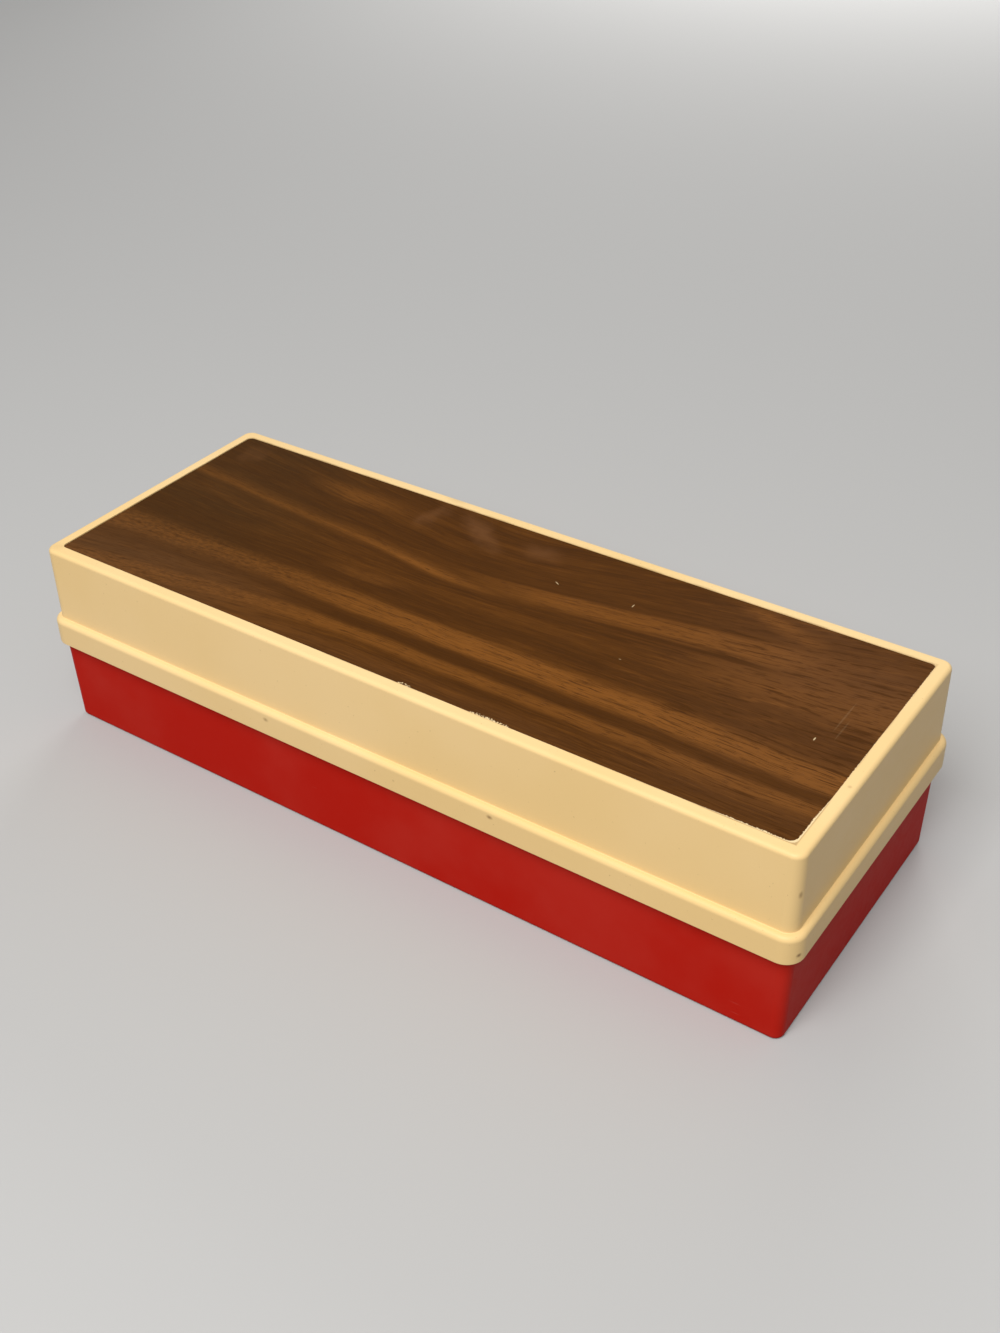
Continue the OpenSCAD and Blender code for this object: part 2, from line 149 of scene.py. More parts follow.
class CaseStudio(bpy.types.PropertyGroup):
    """Camera, floor, sky and lamps."""

    camera: position("Camera", "Place of the camera", (0.31859, -0.42837, 0.43712))
    aim: position("Aim", "Point at the middle of the picture", (0.01653, -0.00372, 0.06559))
    roll: FloatProperty(
        name="Roll", description="Turn of the camera about its view", subtype="ANGLE",
        default=math.radians(-1.346))
    lens: number("Lens", "Focal length, in millimetres", 42.24, "CAMERA")
    floor: colour("Floor", "Floor as it is seen", (0.46, 0.455, 0.445))
    floor_far: colour("Far floor", "Floor away from the lamps, as it is seen", (0.98, 0.975, 0.965))
    floor_bounce: colour("Floor bounce", "Floor as it lights the case", (0.16, 0.157, 0.153))
    floor_size: length("Floor size", "Side of the square floor", 12.0)
    fade: length("Fade", "Distance at which the floor has turned into the far floor", 3.2)
    sky: number("Sky", "Strength of the even light from all round", 0.34)
    key: number("Key lamp", "Power of the large lamp in front", 36.5, "POWER")
    key_place: position("Key place", "Place of the large lamp", (0.27, -1.06, 1.46))
    key_size: length("Key size", "Side of the large lamp", 1.1)
    fill: number("Fill lamp", "Power of the lamp behind the case", 17.0, "POWER")
    fill_place: position("Fill place", "Place of the lamp behind the case", (-0.62, 1.87, 0.7))
    fill_size: length("Fill size", "Side of the lamp behind the case", 0.9)


# ---------- shader graphs ----------

class Value:
    """A shader socket that can be used in a Python expression."""

    def __init__(self, finish, socket):
        self.finish = finish
        self.socket = socket

    def _math(self, operation, first, second):
        return self.finish.add("Math", {"operation": operation}, {0: first, 1: second})

    def __add__(self, other):
        return self._math("ADD", self, other)

    def __sub__(self, other):
        return self._math("SUBTRACT", self, other)

    def __rsub__(self, other):
        return self._math("SUBTRACT", other, self)

    def __mul__(self, other):
        return self._math("MULTIPLY", self, other)

    def __truediv__(self, other):
        return self._math("DIVIDE", self, other)

    def __pow__(self, other):
        return self._math("POWER", self, other)

    def __neg__(self):
        return self._math("MULTIPLY", self, -1)

    __radd__ = __add__
    __rmul__ = __mul__


class Finish:
    """A material under construction round one Principled shader."""

    def __init__(self, name, **constants):
        self.material = bpy.data.materials.new(name)
        self.material.use_nodes = True
        self.tree = self.material.node_tree
        self.shader = self.tree.nodes["Principled BSDF"]
        for socket, value in constants.items():
            self.set(socket.replace("_", " "), value)

    def set(self, socket, value):
        """Sets one of the shader's sockets, named as in the editor, or links a value to it."""
        names = {name.lower(): name for name in self.shader.inputs.keys()}
        self._feed(self.shader.inputs[names[socket.lower()]], value)

    def _feed(self, socket, value):
        if isinstance(value, Value):
            self.tree.links.new(value.socket, socket)
        elif socket.type == "RGBA":
            socket.default_value = (*value[:3], 1)
        else:
            socket.default_value = value

    def add(self, kind, settings=None, values=None, output=0):
        """Adds a node, gives it its settings and then its sockets, and returns one output."""
        node = self.tree.nodes.new("ShaderNode" + kind)
        for name, setting in (settings or {}).items():
            setattr(node, name, setting)
        for key, value in (values or {}).items():
            self._feed(node.inputs[key], value)
        return Value(self, node.outputs[output])

    def place(self):
        """Where the point is on the case, in metres, as a vector and as its three parts."""
        point = self.add("TexCoord", output="Object")
        return point, [self.add("SeparateXYZ", None, {0: point}, part) for part in range(3)]

    def point(self, x, y, z=0.0):
        return self.add("CombineXYZ", None, {0: x, 1: y, 2: z})

    def noise(self, point, scale, detail=2.0, roughness=0.5):
        """Noise from about 0.25 to 0.75, this fine per metre."""
        return self.add("TexNoise", None, {
            "Vector": point, "Scale": scale, "Detail": detail, "Roughness": roughness})

    def ramp(self, value, low, high, to_low=0.0, to_high=1.0):
        """Smooth step of a value from low to high, both ways round."""
        return self.add("MapRange", {"interpolation_type": "SMOOTHSTEP"}, {
            0: value, 1: low, 2: high, 3: to_low, 4: to_high})

    def span(self, value, start, full, waning, end):
        """1 where the value is from full to waning, falling smoothly to 0 at start and end."""
        return self.ramp(value, start, full) * self.ramp(value, end, waning)

    def mix(self, factor, first, second):
        """Colour between two colours."""
        return self.add("Mix", {"data_type": "RGBA"}, {0: factor, 6: first, 7: second}, 2)

    def most(self, first, second):
        return self.add("Math", {"operation": "MAXIMUM"}, {0: first, 1: second})

    def least(self, first, second):
        return self.add("Math", {"operation": "MINIMUM"}, {0: first, 1: second})

    def strongest(self, values):
        """The highest of some values, and at least 0."""
        highest = 0.0
        for value in values:
            highest = self.most(highest, value)
        return highest

    def beyond(self, value, bend):
        """The value where it is above zero, else zero, with a bend this wide between."""
        return ((value * value + bend * bend) ** 0.5 + value) * 0.5

    def spot(self, point, centre, radii):
        """1 at a centre, falling to 0 at these radii along X, Y and Z."""
        offset = self.add("VectorMath", {"operation": "SUBTRACT"}, {0: point, 1: centre})
        share = self.add("VectorMath", {"operation": "DIVIDE"}, {0: offset, 1: radii})
        away = self.add("VectorMath", {"operation": "LENGTH"}, {0: share}, "Value")
        return self.ramp(away, 1.0, 0.0)

    def bump(self, height, distance, edge=None):
        """Relief of this height in metres, over edges rounded by this radius if one is given."""
        values = {"Height": height, "Distance": distance, "Strength": 1.0}
        if edge:
            values["Normal"] = self.add("Bevel", {"samples": 6}, {"Radius": edge})
        self.set("Normal", self.add("Bump", None, values))


def give(node, material):
    """Puts a finish on a CAD node or a new piece."""
    node.data.materials.clear()
    node.data.materials.append(material)


# ---------- finishes ----------

# Small brown spots on the ivory: place, half lengths along X, Y and Z, and strength
STAINS = (
    ((-0.0551, -0.0692, 0.0501), (0.002, 0.002, 0.0014), 0.55),
    ((0.0566, -0.0692, 0.0509), (0.002, 0.002, 0.0013), 0.75),
    ((0.0108, -0.0692, 0.0478), (0.0008, 0.0008, 0.0008), 0.3),
    ((0.1796, -0.0636, 0.0716), (0.0013, 0.0013, 0.0023), 0.6),
    ((0.1822, -0.065, 0.0459), (0.0016, 0.0016, 0.0013), 0.9),
    ((0.1771, -0.024, 0.0895), (0.0013, 0.0013, 0.0013), 0.3),
    ((-0.1135, 0.0692, 0.0492), (0.0012, 0.0012, 0.0009), 0.6),
    ((0.072, 0.0662, 0.0741), (0.001, 0.001, 0.0012), 0.5),
    ((-0.1829, 0.0214, 0.0468), (0.0011, 0.0011, 0.0011), 0.6),
    ((-0.0532, 0.0645, 0.0895), (0.008, 0.0035, 0.002), 0.14),
    ((-0.1763, -0.0622, 0.0895), (0.006, 0.005, 0.002), 0.12),
)

# Short scratches in the red: middle and half lengths along X, Y and Z
SCRATCHES = (
    ((0.1609, -0.0657, 0.01), (0.0034, 0.0012, 0.00028)),
    ((0.1612, -0.0656, 0.0049), (0.003, 0.0012, 0.00024)),
    ((0.1793, -0.0033, 0.0033), (0.0006, 0.0009, 0.0005)),
    ((-0.035, -0.066, 0.021), (0.0021, 0.0012, 0.00018)),
    ((-0.0844, 0.066, 0.0177), (0.0034, 0.0012, 0.0002)),
    ((0.0617, 0.0657, 0.0112), (0.0026, 0.0012, 0.0002)),
)


def frayed_corner(finish, wood, x, y, low, high):
    """1 near the front right corner of the panel's box, where its cut edges are most frayed."""
    front = finish.ramp(high.x - x, wood.frayed_front, wood.frayed_front - wood.frayed_front_fade)
    end = finish.ramp(y - low.y, wood.frayed_end, wood.frayed_end - wood.frayed_end_fade)
    return front * end


def ivory_finish(plastics, wood, panel_low, panel_high):
    """Ivory that has yellowed in clouds, with specks, stains, dirt round the panel and painted shadow
    of the gap at its front right corner.
    """
    finish = Finish("ivory_plastic", specular_ior_level=0.16)
    point, (x, y, z) = finish.place()
    age = finish.ramp(finish.noise(point, 9.0, 3.0), 0.36, 0.66)
    tone = finish.mix(age, plastics.ivory, plastics.ivory_aged)
    speck = finish.ramp(finish.noise(point, 900.0, 1.0), 0.76, 0.82)
    tone = finish.mix(speck * 0.35, tone, plastics.stain)
    for centre, half, strength in STAINS:
        tone = finish.mix(finish.spot(point, centre, half) * strength, tone, plastics.stain)

    # Dirt lies on both sides of the line where the panel meets the rim. Near the front right corner it
    # is stronger, as painted shadow of the gap beside the panel.
    past_end = finish.most(x - panel_high.x, panel_low.x - x)
    past_side = finish.most(y - panel_high.y, panel_low.y - y)
    past = finish.most(past_end, past_side)
    beside = finish.ramp(finish.most(past, -past), wood.grime_and_gap_shade_width, wood.grime_and_gap_shade_width / 9)
    corner = frayed_corner(finish, wood, x, y, panel_low, panel_high)
    patch = finish.ramp(finish.noise(point, 45.0), 0.46, 0.6)
    tone = finish.mix(beside * (patch * 0.3 + corner * 0.5), tone, wood.grime_and_gap_shade)
    finish.set("Base Color", tone)

    rub = finish.noise(finish.point(x * 0.35, y * 0.35, z), 240.0, 4.0, 0.6)
    finish.set("Roughness", 0.3 + rub * 0.14)
    ripple = finish.noise(point, 55.0, 2.0) * 0.8 + finish.noise(point, 2600.0, 1.0) * 0.2
    finish.bump(ripple, plastics.ripple, plastics.edge_round)
    return finish.material


def red_finish(plastics):
    """Red with paler clouds, hair-fine rubs along the walls and a few short scratches."""
    finish = Finish("red_plastic", specular_ior_level=0.035)
    point, (x, y, z) = finish.place()
    cloud = finish.ramp(finish.noise(point, 14.0, 4.0, 0.6), 0.4, 0.7)
    tone = finish.mix(cloud * 0.3, plastics.red, plastics.red_scuffed)
    hair = finish.noise(finish.point(x * 0.12, y * 0.12, z), 1900.0, 2.0)
    rubbed = finish.ramp(hair, 0.68, 0.76) * finish.ramp(finish.noise(point, 30.0), 0.5, 0.66)
    tone = finish.mix(rubbed * 0.4, tone, plastics.red_scuffed)
    cut = finish.strongest(finish.spot(point, centre, half) for centre, half in SCRATCHES)
    finish.set("Base Color", finish.mix(cut * 0.85, tone, plastics.red_scuffed))

    finish.set("Roughness", 0.4 + finish.noise(point, 260.0, 4.0, 0.6) * 0.18)
    ripple = finish.noise(point, 60.0, 2.0) * 0.8 + finish.noise(point, 2400.0, 1.0) * 0.2
    finish.bump(ripple - cut * 0.8, plastics.ripple, plastics.edge_round)
    return finish.material


def small_plastic_finish(name, tone, plastics, shine=0.3):
    """Plastic of the ships and pegs: even colour, with a slight mottle and dull rubs."""
    finish = Finish(name, specular_ior_level=0.45)
    point, _ = finish.place()
    darker = [part * 0.8 for part in tone]
    mottle = finish.ramp(finish.noise(point, 180.0, 3.0), 0.35, 0.7)
    finish.set("Base Color", finish.mix(mottle, tone, darker))
    finish.set("Roughness", shine - 0.06 + finish.noise(point, 700.0, 3.0) * 0.16)
    finish.bump(finish.noise(point, 3000.0, 2.0), plastics.small_ripple, plastics.edge_round)
    return finish.material


def screw_finish(plastics):
    """Zinc plating with dull blotches."""
    finish = Finish("screw_steel", metallic=1.0)
    point, _ = finish.place()
    dull = [part * 0.62 for part in plastics.screw]
    blotch = finish.ramp(finish.noise(point, 420.0, 4.0), 0.4, 0.7)
    finish.set("Base Color", finish.mix(blotch, plastics.screw, dull))
    finish.set("Roughness", 0.26 + blotch * 0.2)
    finish.bump(finish.noise(point, 2500.0, 2.0), plastics.small_ripple, plastics.screw_round)
    return finish.material


# Dark bands in the right half: grain height, half width, softness, strength, and where along X
# the band starts, is full, wanes and ends
DARK_BANDS = (
    (0.0174, 0.0010, 0.6, 0.8, (-0.05, 0.02, 0.1, 0.15)),
    (0.0058, 0.0008, 0.5, 1.0, (0.03, 0.06, 0.11, 0.135)),
    (0.0078, 0.0004, 0.5, 0.7, (0.06, 0.08, 0.1, 0.12)),
)

# Soft paler spots in the grain: middle, half lengths along X and Y, slope and strength
PALE_SPOTS = (
    ((-0.0920, 0.0440), (0.0420, 0.0095), -0.04, 0.5),
    ((-0.0490, -0.0080), (0.0330, 0.0062), 0.03, 0.56),
    ((0.0790, -0.0070), (0.0160, 0.0026), 0.0, 0.44),
    ((-0.0780, -0.0485), (0.0260, 0.0052), 0.17, 0.46),
    ((-0.1480, -0.0455), (0.0210, 0.0013), 0.03, 0.16),
    ((0.1150, 0.0526), (0.0300, 0.0078), -0.24, 0.86),
    ((0.1280, 0.0488), (0.0140, 0.0076), -0.22, 0.78),
    ((0.1335, 0.0052), (0.0260, 0.0013), 0.21, 0.7),
    ((0.1360, -0.0050), (0.0140, 0.0010), 0.26, 0.45),
)

# Greasy smears, in the same terms
SMEARS = (
    ((-0.0290, 0.0480), (0.0230, 0.0095), -0.55, 0.9),
    ((0.0030, 0.0475), (0.0150, 0.0100), 0.0, 0.6),
    ((-0.0540, 0.0490), (0.0080, 0.0160), 0.0, 0.62),
    ((-0.1610, 0.0480), (0.0080, 0.0120), 0.0, 0.34),
)

# Nicks down to the core, in the same terms
NICKS = (
    ((0.0217, 0.0312), (0.0016, 0.0003), -0.55, 0.62),
    ((0.0568, 0.0335), (0.0003, 0.0015), 0.0, 0.6),
    ((0.1553, -0.0058), (0.0004, 0.0014), 0.0, 0.6),
    ((0.0716, -0.0014), (0.0008, 0.0003), 0.0, 0.3),
    ((0.1590, 0.0120), (0.0005, 0.0140), 0.06, 0.035),
    ((0.1615, 0.0040), (0.0005, 0.0090), 0.0, 0.03),
)

# Tufts of torn core on the front edge: middle and half length along X
TUFTS = ((0.012, 0.0025), (0.051, 0.007))


class Walnut:
    """The walnut print: streaks, pale and dark bands, pores, smears and a frayed cut edge.

    The streaks run along X. They lie closest together at a waist and fan out towards both ends.
    Grain is the height along Y at which a streak crosses the waist, so a band of one colour keeps
    to one grain height.
    """

    WAIST = -0.01  # along X
    STRAIGHT = -0.02  # grain height of the streak that doesn't turn
    BEND = 0.025  # length over which the streaks turn
    LEFT_FAN = -0.06  # left of this the streaks below the straight one fan out

    def __init__(self, wood, low, high):
        self.wood = wood
        self.low, self.high = low, high
        self.finish = finish = Finish("woodgrain_laminate", specular_ior_level=0.04)
        self.point, (self.x, self.y, _) = finish.place()
        self.wander = finish.noise(finish.point(self.x, self.y * 2.0), 45.0, 2.0) - 0.5
        self.grain = self.fan_out()
        self.wide = self.streaks(wood.streak, 22.0, 3.0, 0.0)
        self.fine = self.streaks(wood.fibre, 26.0, 4.0, 5.0)
        self.vein = self.streaks(wood.fibre * 1.2, 18.0, 3.0, 13.0)
        self.hair = self.streaks(wood.fibre * 0.4, 50.0, 2.0, 9.0)
        self.ripple = finish.noise(self.point, 60.0, 3.0, 0.6)
        self.left = finish.ramp(self.x, -0.03, -0.1)
        self.far_right = finish.ramp(self.x, 0.03, 0.11)

    def fan_out(self):
        """The grain height of a point on the panel."""
        finish, x, y = self.finish, self.x, self.y
        sway = finish.noise(finish.point(x, y * 1.6), 9.0, 2.0) - 0.5
        height = y + sway * 0.006 + self.wander * 0.0014
        rising = finish.beyond(x - self.WAIST, self.BEND)
        falling = finish.beyond(self.WAIST - x, self.BEND)
        turned = finish.beyond(self.LEFT_FAN - x, self.BEND)
        # Left of the waist all the streaks also drop a little towards the front.
        offset = height - self.STRAIGHT + falling * 0.025
        above = finish.most(offset, 0.0) / (1.0 + rising * 5.0 + falling * 3.5)
        below = finish.least(offset, 0.0) / (1.0 + turned * 7.0)
        return above + below + self.STRAIGHT

    def streaks(self, width, stretch, detail, seed):
        """Noise drawn out along the grain, with streaks this wide and this many times as long."""
        point = self.finish.point(self.x / (width * stretch), self.grain / width, seed)
        return self.finish.noise(point, 1.0, detail, 0.6)

    def band(self, centre, half, soft=0.5, lean=1.0):
        """1 along a streak at this grain height, with edges that the fine streaks roughen.

        Lean stretches its upper side.
        """
        finish = self.finish
        gap = (self.grain - centre) / half
        away = finish.most(gap, 0.0) / lean + finish.most(-gap, 0.0)
        return finish.ramp(away + (self.fine - 0.5) * 1.5, 1.0 + soft, 1.0 - soft)

    def spot(self, middle, half, slope, across, along):
        """A soft spot whose axis has this slope."""
        run = across - middle[0]
        here = self.finish.point(run, along - middle[1] - run * slope)
        return self.finish.spot(here, (0, 0, 0), (*half, 1.0))

    def sapwood(self):
        """Strength of the pale bands, from the back to the front, and of the pale spots."""
        finish, x, left, band = self.finish, self.x, self.left, self.band
        height = 0.0112 - finish.ramp(x, -0.07, 0.0) * 0.0042
        back_left = (band(height, 0.0022, 0.95, 1.3) * (0.58 - left * 0.3)
                     + band(height - 0.0004, 0.0011, 0.8) * (0.26 - left * 0.08))
        back_right = band(0.0118, 0.0044, 0.6, 1.2) * finish.span(x, -0.03, 0.04, 0.11, 0.165)
        middle_right = band(0.0005, 0.005, 0.9) * finish.ramp(x, 0.07, 0.13)
        broad = band(-0.0245 + left * 0.0018, 0.0057 - left * 0.0014, 0.35 + left * 0.4)
        front = band(-0.0418, 0.0034, 0.5) * (0.62 - left * 0.12)
        rough = self.y + (self.fine - 0.5) * 0.006 + self.wander * 0.006
        return finish.strongest((
            back_left * finish.ramp(x, 0.025, -0.03),
            back_right * 0.66,
            middle_right * 0.4,
            broad * finish.ramp(x, -0.11, 0.03, 0.5, 0.9),
            front,
            *(self.spot(middle, half, slope, x, rough) * strength
              for middle, half, slope, strength in PALE_SPOTS),
        ))

    def heartwood(self):
        """Strength of the dark bands."""
        finish, left, band = self.finish, self.left, self.band
        return finish.strongest((
            band(-0.0349 + left * 0.0055, 0.0028, 0.5) * (0.8 - left * 0.4),
            band(-0.012, 0.0055, 0.7) * 0.4,
            band(0.0215, 0.004, 0.8) * 0.35,
            *(band(height, half, soft) * finish.span(self.x, *stretch) * strength
              for height, half, soft, strength, stretch in DARK_BANDS),
        ))

    def ground(self):
        """Colour of the plain wood, with a painted reflection that greys its left end."""
        finish, wood = self.finish, self.wood
        shade = finish.ramp(self.wide, 0.3, 0.68) * 0.6 + finish.ramp(self.fine, 0.34, 0.66) * 0.4
        tone = finish.mix(shade, wood.dark, wood.middle)
        # Painted reflection greys the left end.
        return finish.mix(finish.ramp(self.x, -0.05, -0.15) * 0.7, tone, wood.reflection_grey)

    def paleness(self, sap):
        """How far the ground turns to light wood: in the sapwood and, faintly, in each streak."""
        finish, x, y = self.finish, self.x, self.y
        glow = (finish.ramp(self.wide, 0.5, 0.74) * 0.14
                + finish.ramp(self.fine, 0.48, 0.7) * (0.1 + self.far_right * 0.16))
        curl = finish.noise(
            finish.point((x + y * 1.1) / 0.0034, (y - x * 0.35) / 0.0017), 1.0, 2.0)
        curled = finish.ramp(curl, 0.42, 0.6) * self.left * finish.ramp(y, -0.005, -0.02)
        return finish.most(sap * (1.0 - curled * 0.5), glow) * (
            0.78 + finish.ramp(self.fine, 0.36, 0.6) * 0.22)

    def bloomed_and_reflected(self, tone):
        """The tone with a dull bloom at the right end and along the front, a painted reflection as haze
        over the front left, and dark at the corner.
        """
        finish, wood, x, y = self.finish, self.wood, self.x, self.y
        right = finish.ramp(x, 0.06, 0.15) * finish.ramp(y, -0.04, 0.05, 0.24, 0.42)
        # At the front left the haze is painted reflection.
        front_left_reflection = finish.ramp(x, -0.03, -0.12) * finish.ramp(y, -0.012, -0.045)
        strip = finish.ramp(y, -0.048, -0.057)
        bloom_and_reflection = finish.strongest((
            right, front_left_reflection * 0.3, strip * finish.ramp(x, 0.1, 0.08) * 0.15))
        tone = finish.mix(bloom_and_reflection * (finish.noise(self.point, 26.0, 3.0) + 0.5), tone, wood.haze_and_reflection)
        return finish.mix(strip * finish.ramp(x, 0.1, 0.13) * 0.35, tone, wood.dark)

    def pores(self, sap, seam):
        """Strength of the pores, which show most in the sapwood and the seam."""
        finish, wood = self.finish, self.wood
        dashes = finish.noise(
            finish.point(self.x / wood.pore_length, self.grain / wood.pore_width, 3.0), 1.0, 1.0)
        return finish.ramp(dashes, 0.57, 0.7) * (0.24 + sap * 0.34 + seam * 0.6)

    def grease(self):
        """Strength of the greasy smears."""
        across = self.x + (self.finish.noise(self.point, 80.0, 2.0) - 0.5) * 0.016
        along = self.y + (self.ripple - 0.5) * 0.012
        return self.finish.strongest(
            self.spot(middle, half, slope, across, along) * strength
            for middle, half, slope, strength in SMEARS)

    def bare_core(self):
        """Strength of the paper core in the nicks and where the cut edges have frayed."""
        finish, wood, x, y = self.finish, self.wood, self.x, self.y
        nicks = [finish.ramp(self.spot(middle, half, slope, x, y), 0.0, 0.5) * strength
                 for middle, half, slope, strength in NICKS]

        # How far inside the cut edge a point is, with the front right corner rounded.
        past_x = finish.most(x - (self.high.x - wood.cut_round), 0.0)
        past_y = finish.most((self.low.y + wood.cut_round) - y, 0.0)
        inside = wood.cut_round - (past_x * past_x + past_y * past_y) ** 0.5
        jag = finish.ramp(finish.noise(self.point, 1700.0, 2.0), 0.42, 0.66)
        patch = finish.ramp(finish.noise(self.point, 60.0), 0.42, 0.56)
        tufts = finish.strongest(
            finish.span(x, middle - half * 1.4, middle - half, middle + half, middle + half * 1.4)
            for middle, half in TUFTS)
        corner = frayed_corner(finish, wood, x, y, self.low, self.high)
        torn = jag * (patch * 0.3 + tufts * 2.3) + corner * (0.8 + jag * 0.5)
        frayed = finish.ramp(inside / wood.cut_edge - torn, 0.15, -0.1) * 0.9
        return finish.strongest((*nicks, frayed))

    def build(self):
        """Lays the colours over one another, from the ground up, and returns the material."""
        finish, wood = self.finish, self.wood
        sap = self.sapwood()
        tone = finish.mix(self.paleness(sap), self.ground(), wood.light)
        tone = self.bloomed_and_reflected(tone)
        tone = finish.mix(self.heartwood() * 0.75, tone, wood.dark)
        vein = finish.ramp(self.vein, 0.53, 0.64) * (0.34 + self.far_right * 0.4)
        tone = finish.mix(vein, tone, wood.dark)
        tone = finish.mix(finish.ramp(self.hair, 0.5, 0.34) * 0.3, tone, wood.pore)

        seam = self.band(-0.0232, 0.0005, 0.7) * finish.ramp(self.wide, 0.4, 0.56)
        pores = self.pores(sap, seam)
        tone = finish.mix(finish.most(pores, seam * 0.3), tone, wood.pore)
        grease = self.grease()
        tone = finish.mix(grease * (0.2 + self.ripple * 0.9), tone, wood.haze_and_reflection)
        bare = self.bare_core()
        finish.set("Base Color", finish.mix(bare, tone, wood.core))

        finish.set("Roughness", 0.4 + self.fine * 0.1 + grease * 0.1 + bare * 0.2)
        relief = self.fine * 0.4 + self.hair * 0.2 - pores * 0.8 + bare * 0.5
        finish.bump(relief, wood.relief)
        return finish.material


# ---------- modelling ----------

def piece(name, mesh, body, material):
    """Makes an object of a bmesh whose vertices are in place, and ties it to its CAD body."""
    data = bpy.data.meshes.new(name)
    mesh.to_mesh(data)
    mesh.free()
    made = bpy.data.objects.new(name, data)
    bpy.context.scene.collection.objects.link(made)
    give(made, material)
    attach(made, body)


def slab(mesh, low, high):
    """Adds a block between two corners."""
    made = bmesh.ops.create_cube(mesh, size=1.0)["verts"]
    low, high = Vector(low), Vector(high)
    bmesh.ops.scale(mesh, verts=made, vec=high - low)
    bmesh.ops.translate(mesh, verts=made, vec=(low + high) / 2)


def letters(mesh, text, size, thickness, centre, upside_down):
    """Adds a short text as flat raised letters that lie on a board, centred on a point."""
    curve = bpy.data.curves.new("letters", "FONT")
    curve.body = text
    curve.size = size
    curve.align_x = "CENTER"
    curve.align_y = "CENTER"
    curve.extrude = thickness / 2
    holder = bpy.data.objects.new("letters", curve)
    bpy.context.scene.collection.objects.link(holder)
    bpy.context.view_layer.update()
    flat = holder.to_mesh()
    turned = Matrix.Rotation(math.pi, 4, "X") if upside_down else Matrix.Identity(4)
    flat.transform(Matrix.Translation(centre) @ turned)
    mesh.from_mesh(flat)
    holder.to_mesh_clear()
    bpy.data.objects.remove(holder)
    bpy.data.curves.remove(curve)


# ---------- operators ----------

class CASE_OT_studio(bpy.types.Operator):
    """Camera, pale floor, sky, a large soft lamp in front and a weaker one behind"""

    bl_idname = "case.studio"
    bl_label = "Studio"

    def execute(self, context):
        scene = context.scene
        studio = scene.case_studio
        scene.view_settings.view_transform = "Standard"
        self.add_camera(scene, studio)
        self.add_floor(scene, studio)
        self.add_sky(scene, studio)
        self.add_lamp(scene, "key", studio.key, studio.key_place, studio.key_size)
        fill = self.add_lamp(scene, "fill", studio.fill, studio.fill_place, studio.fill_size)
        fill.visible_glossy = False
        return {"FINISHED"}

    def add_camera(self, scene, studio):
        lens = bpy.data.cameras.new("camera")
        lens.lens = studio.lens
        lens.sensor_width = CAMERA_FRAME
        camera = bpy.data.objects.new("camera", lens)
        stand, aim = Vector(studio.camera), Vector(studio.aim)
        turn = (aim - stand).to_track_quat("-Z", "Y").to_matrix().to_4x4()
        roll = Matrix.Rotation(studio.roll, 4, "Z")
        camera.matrix_world = Matrix.Translation(stand) @ turn @ roll
        scene.collection.objects.link(camera)
        scene.camera = camera

    def add_floor(self, scene, studio):
        """Adds a floor that the case sees darker than the camera does."""
        mesh = bmesh.new()
        bmesh.ops.create_grid(mesh, x_segments=1, y_segments=1, size=studio.floor_size / 2)
        data = bpy.data.meshes.new("floor")
        mesh.to_mesh(data)
        mesh.free()
        floor = bpy.data.objects.new("floor", data)
        scene.collection.objects.link(floor)
        finish = Finish("floor", roughness=0.9, specular_ior_level=0.1)
        point, _ = finish.place()
        away = finish.add("VectorMath", {"operation": "LENGTH"}, {0: point}, "Value")
        far = finish.ramp(away, studio.fade / 2, studio.fade)
        shown = finish.mix(far, studio.floor, studio.floor_far)
        seen = finish.add("LightPath", output="Is Camera Ray")
        for ray in ("Is Glossy Ray", "Is Transmission Ray"):
            seen = finish.most(seen, finish.add("LightPath", output=ray))
        finish.set("Base Color", finish.mix(seen, studio.floor_bounce, shown))
        give(floor, finish.material)

    def add_sky(self, scene, studio):
        world = bpy.data.worlds.new("sky")
        world.use_nodes = True
        background = world.node_tree.nodes["Background"]
        background.inputs["Color"].default_value = (1, 1, 1, 1)
        background.inputs["Strength"].default_value = studio.sky
        scene.world = world

    def add_lamp(self, scene, name, power, stand, size):
        """Adds a square lamp that points at the case."""
        lamp = bpy.data.lights.new(name, "AREA")
        lamp.energy = power
        lamp.size = size
        holder = bpy.data.objects.new(name, lamp)
        holder.visible_camera = False
        stand = Vector(stand)
        turn = (-stand).to_track_quat("-Z", "Y").to_matrix().to_4x4()
        holder.matrix_world = Matrix.Translation(stand) @ turn
        scene.collection.objects.link(holder)
        return holder


class CASE_OT_plastics(bpy.types.Operator):
    """Finishes of the base, the lid, their boards, trays and posts"""

    bl_idname = "case.plastics"
    bl_label = "Case plastics"

    def execute(self, context):
        plastics = context.scene.case_plastics
        wood = context.scene.case_woodgrain
        finishes = {
            "ivory_plastic": ivory_finish(plastics, wood, *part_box("woodgrain_panel")),
            "red_plastic": red_finish(plastics),
        }
        for part in frame["record"]["subparts"]:
            if part["material_slot"] in finishes:
                give(frame["nodes"][part["node"]], finishes[part["material_slot"]])
        return {"FINISHED"}


class CASE_OT_woodgrain(bpy.types.Operator):
    """Woodgrain panel and the frayed edge where it was cut"""

    bl_idname = "case.woodgrain"
    bl_label = "Woodgrain panel"

    def execute(self, context):
        walnut = Walnut(context.scene.case_woodgrain, *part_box("woodgrain_panel"))
        give(frame["nodes"]["woodgrain_panel"], walnut.build())
        return {"FINISHED"}


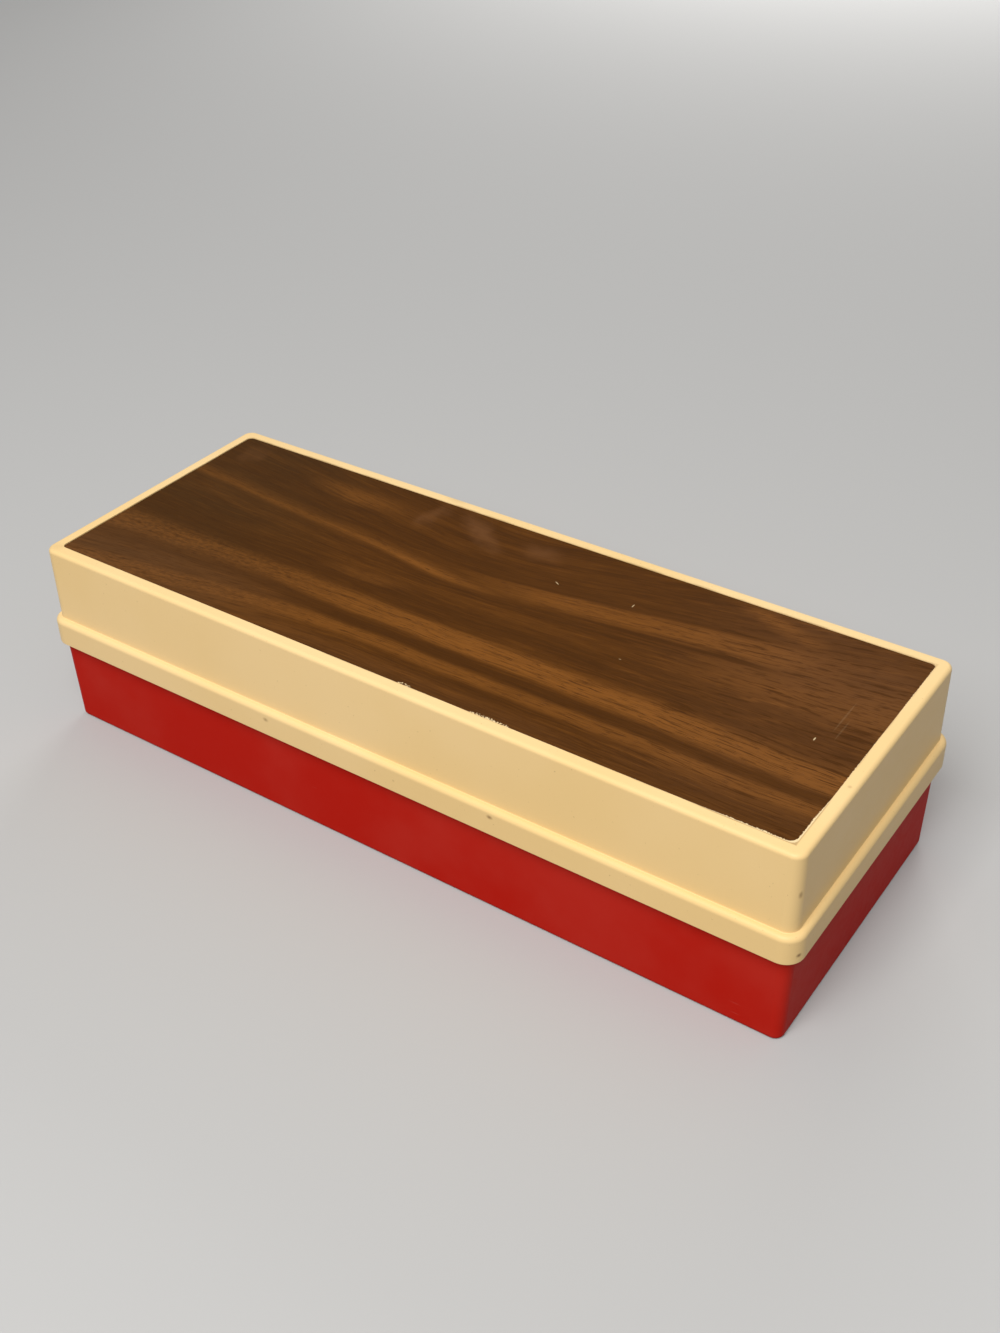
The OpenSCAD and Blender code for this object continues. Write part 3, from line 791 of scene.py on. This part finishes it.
class CASE_OT_boards(bpy.types.Operator):
    """Grid lines, letters and numbers on the four boards"""

    bl_idname = "case.boards"
    bl_label = "Board print"

    def execute(self, context):
        for half in HALVES:
            for board in ("ocean", "target"):
                self.add_print(context.scene.case_print, half, board)
        return {"FINISHED"}

    def add_print(self, ink, half, board):
        """Adds one board's print, as a piece that rides on its half of the case."""
        low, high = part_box(f"{half}_{board}_board")
        middle = (low + high) / 2
        outward = 1 if middle.x > 0 else -1
        hanging = half == "lid"
        face = low.z if hanging else high.z
        bottom, top = sorted((face, face + (-ink.relief if hanging else ink.relief)))
        reach = GRID_HOLES * ink.pitch / 2
        tray_low, tray_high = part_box(f"{half}_peg_tray")
        inner = (tray_high.x if outward > 0 else tray_low.x) + outward * ink.line
        left, right = sorted((inner, middle.x + outward * reach))
        mesh = bmesh.new()
        for line in range(GRID_HOLES + 1):
            offset = line * ink.pitch - reach
            column, row = middle.x + offset, middle.y + offset
            clear_of_tray = left - ink.line < column < right + ink.line
            if clear_of_tray:
                slab(mesh, (column - ink.line / 2, middle.y - reach, bottom),
                     (column + ink.line / 2, middle.y + reach, top))
            slab(mesh, (left, row - ink.line / 2, bottom), (right, row + ink.line / 2, top))
        height = (bottom + top) / 2
        self.add_coordinates(mesh, ink, middle, reach, outward, height, hanging)
        slot = "red_plastic" if hanging else "ivory_plastic"
        piece(f"{half}_{board}_print", mesh, half, bpy.data.materials[slot])

    def add_coordinates(self, mesh, ink, middle, reach, outward, height, hanging):
        """Letters along the outer end and numbers along the top, as the half is seen in play."""
        up = -1 if hanging else 1
        margin = reach + ink.letter_gap
        for index in range(GRID_HOLES):
            offset = reach - (index + 0.5) * ink.pitch
            for text, x, y in ((chr(ord("A") + index), outward * margin, offset * up),
                               (str(index + 1), -offset, margin * up)):
                letters(mesh, text, ink.letter, ink.relief,
                        Vector((middle.x + x, middle.y + y, height)), hanging)


class CASE_OT_ships(bpy.types.Operator):
    """Finish of both fleets"""

    bl_idname = "case.ships"
    bl_label = "Ships"

    def execute(self, context):
        plastics = context.scene.case_plastics
        for fleet, tone in zip(FLEETS, (plastics.ship_grey, plastics.ship_blue)):
            finish = small_plastic_finish(f"{fleet}_ship", tone, plastics, 0.4)
            for ship in SHIPS:
                give(frame["nodes"][f"{fleet}_{ship}"], finish)
        return {"FINISHED"}


class CASE_OT_pegs(bpy.types.Operator):
    """Finish of the hit pegs and the miss pegs"""

    bl_idname = "case.pegs"
    bl_label = "Pegs"

    def execute(self, context):
        plastics = context.scene.case_plastics
        for node, tone in (("hit_pegs", plastics.hit_peg), ("miss_pegs", plastics.miss_peg)):
            give(frame["nodes"][node], small_plastic_finish(node, tone, plastics))
        return {"FINISHED"}


class CASE_OT_screws(bpy.types.Operator):
    """Finish of the screws that hold the boards and trays"""

    bl_idname = "case.screws"
    bl_label = "Screws"

    def execute(self, context):
        finish = screw_finish(context.scene.case_plastics)
        for half in HALVES:
            give(frame["nodes"][f"{half}_board_screws"], finish)
        return {"FINISHED"}


class CASE_PT_sidebar(bpy.types.Panel):
    """Lists the steps that finish the case, and the values that they use"""

    bl_label = "Fleet case"
    bl_idname = "CASE_PT_sidebar"
    bl_space_type = "VIEW_3D"
    bl_region_type = "UI"
    bl_category = "Fleet case"

    def draw(self, context):
        for step in STEPS:
            self.layout.operator(step.bl_idname)
        for name, group in GROUPS.items():
            box = self.layout.box()
            for value in group.__annotations__:
                box.prop(getattr(context.scene, name), value)


GROUPS = {
    "case_plastics": CasePlastics,
    "case_woodgrain": WoodgrainPanel,
    "case_print": BoardPrint,
    "case_studio": CaseStudio,
}
STEPS = (
    CASE_OT_studio,
    CASE_OT_plastics,
    CASE_OT_woodgrain,
    CASE_OT_boards,
    CASE_OT_ships,
    CASE_OT_pegs,
    CASE_OT_screws,
)


def register():
    for entry in (*GROUPS.values(), *STEPS, CASE_PT_sidebar):
        bpy.utils.register_class(entry)
    for name, group in GROUPS.items():
        setattr(bpy.types.Scene, name, PointerProperty(type=group))


def unregister():
    for name in GROUPS:
        delattr(bpy.types.Scene, name)
    for entry in reversed((*GROUPS.values(), *STEPS, CASE_PT_sidebar)):
        bpy.utils.unregister_class(entry)


def main():
    register()
    bpy.ops.case.studio()
    bpy.ops.case.plastics()
    bpy.ops.case.woodgrain()
    bpy.ops.case.boards()
    bpy.ops.case.ships()
    bpy.ops.case.pegs()
    bpy.ops.case.screws()


if __name__ == "__main__":
    main()
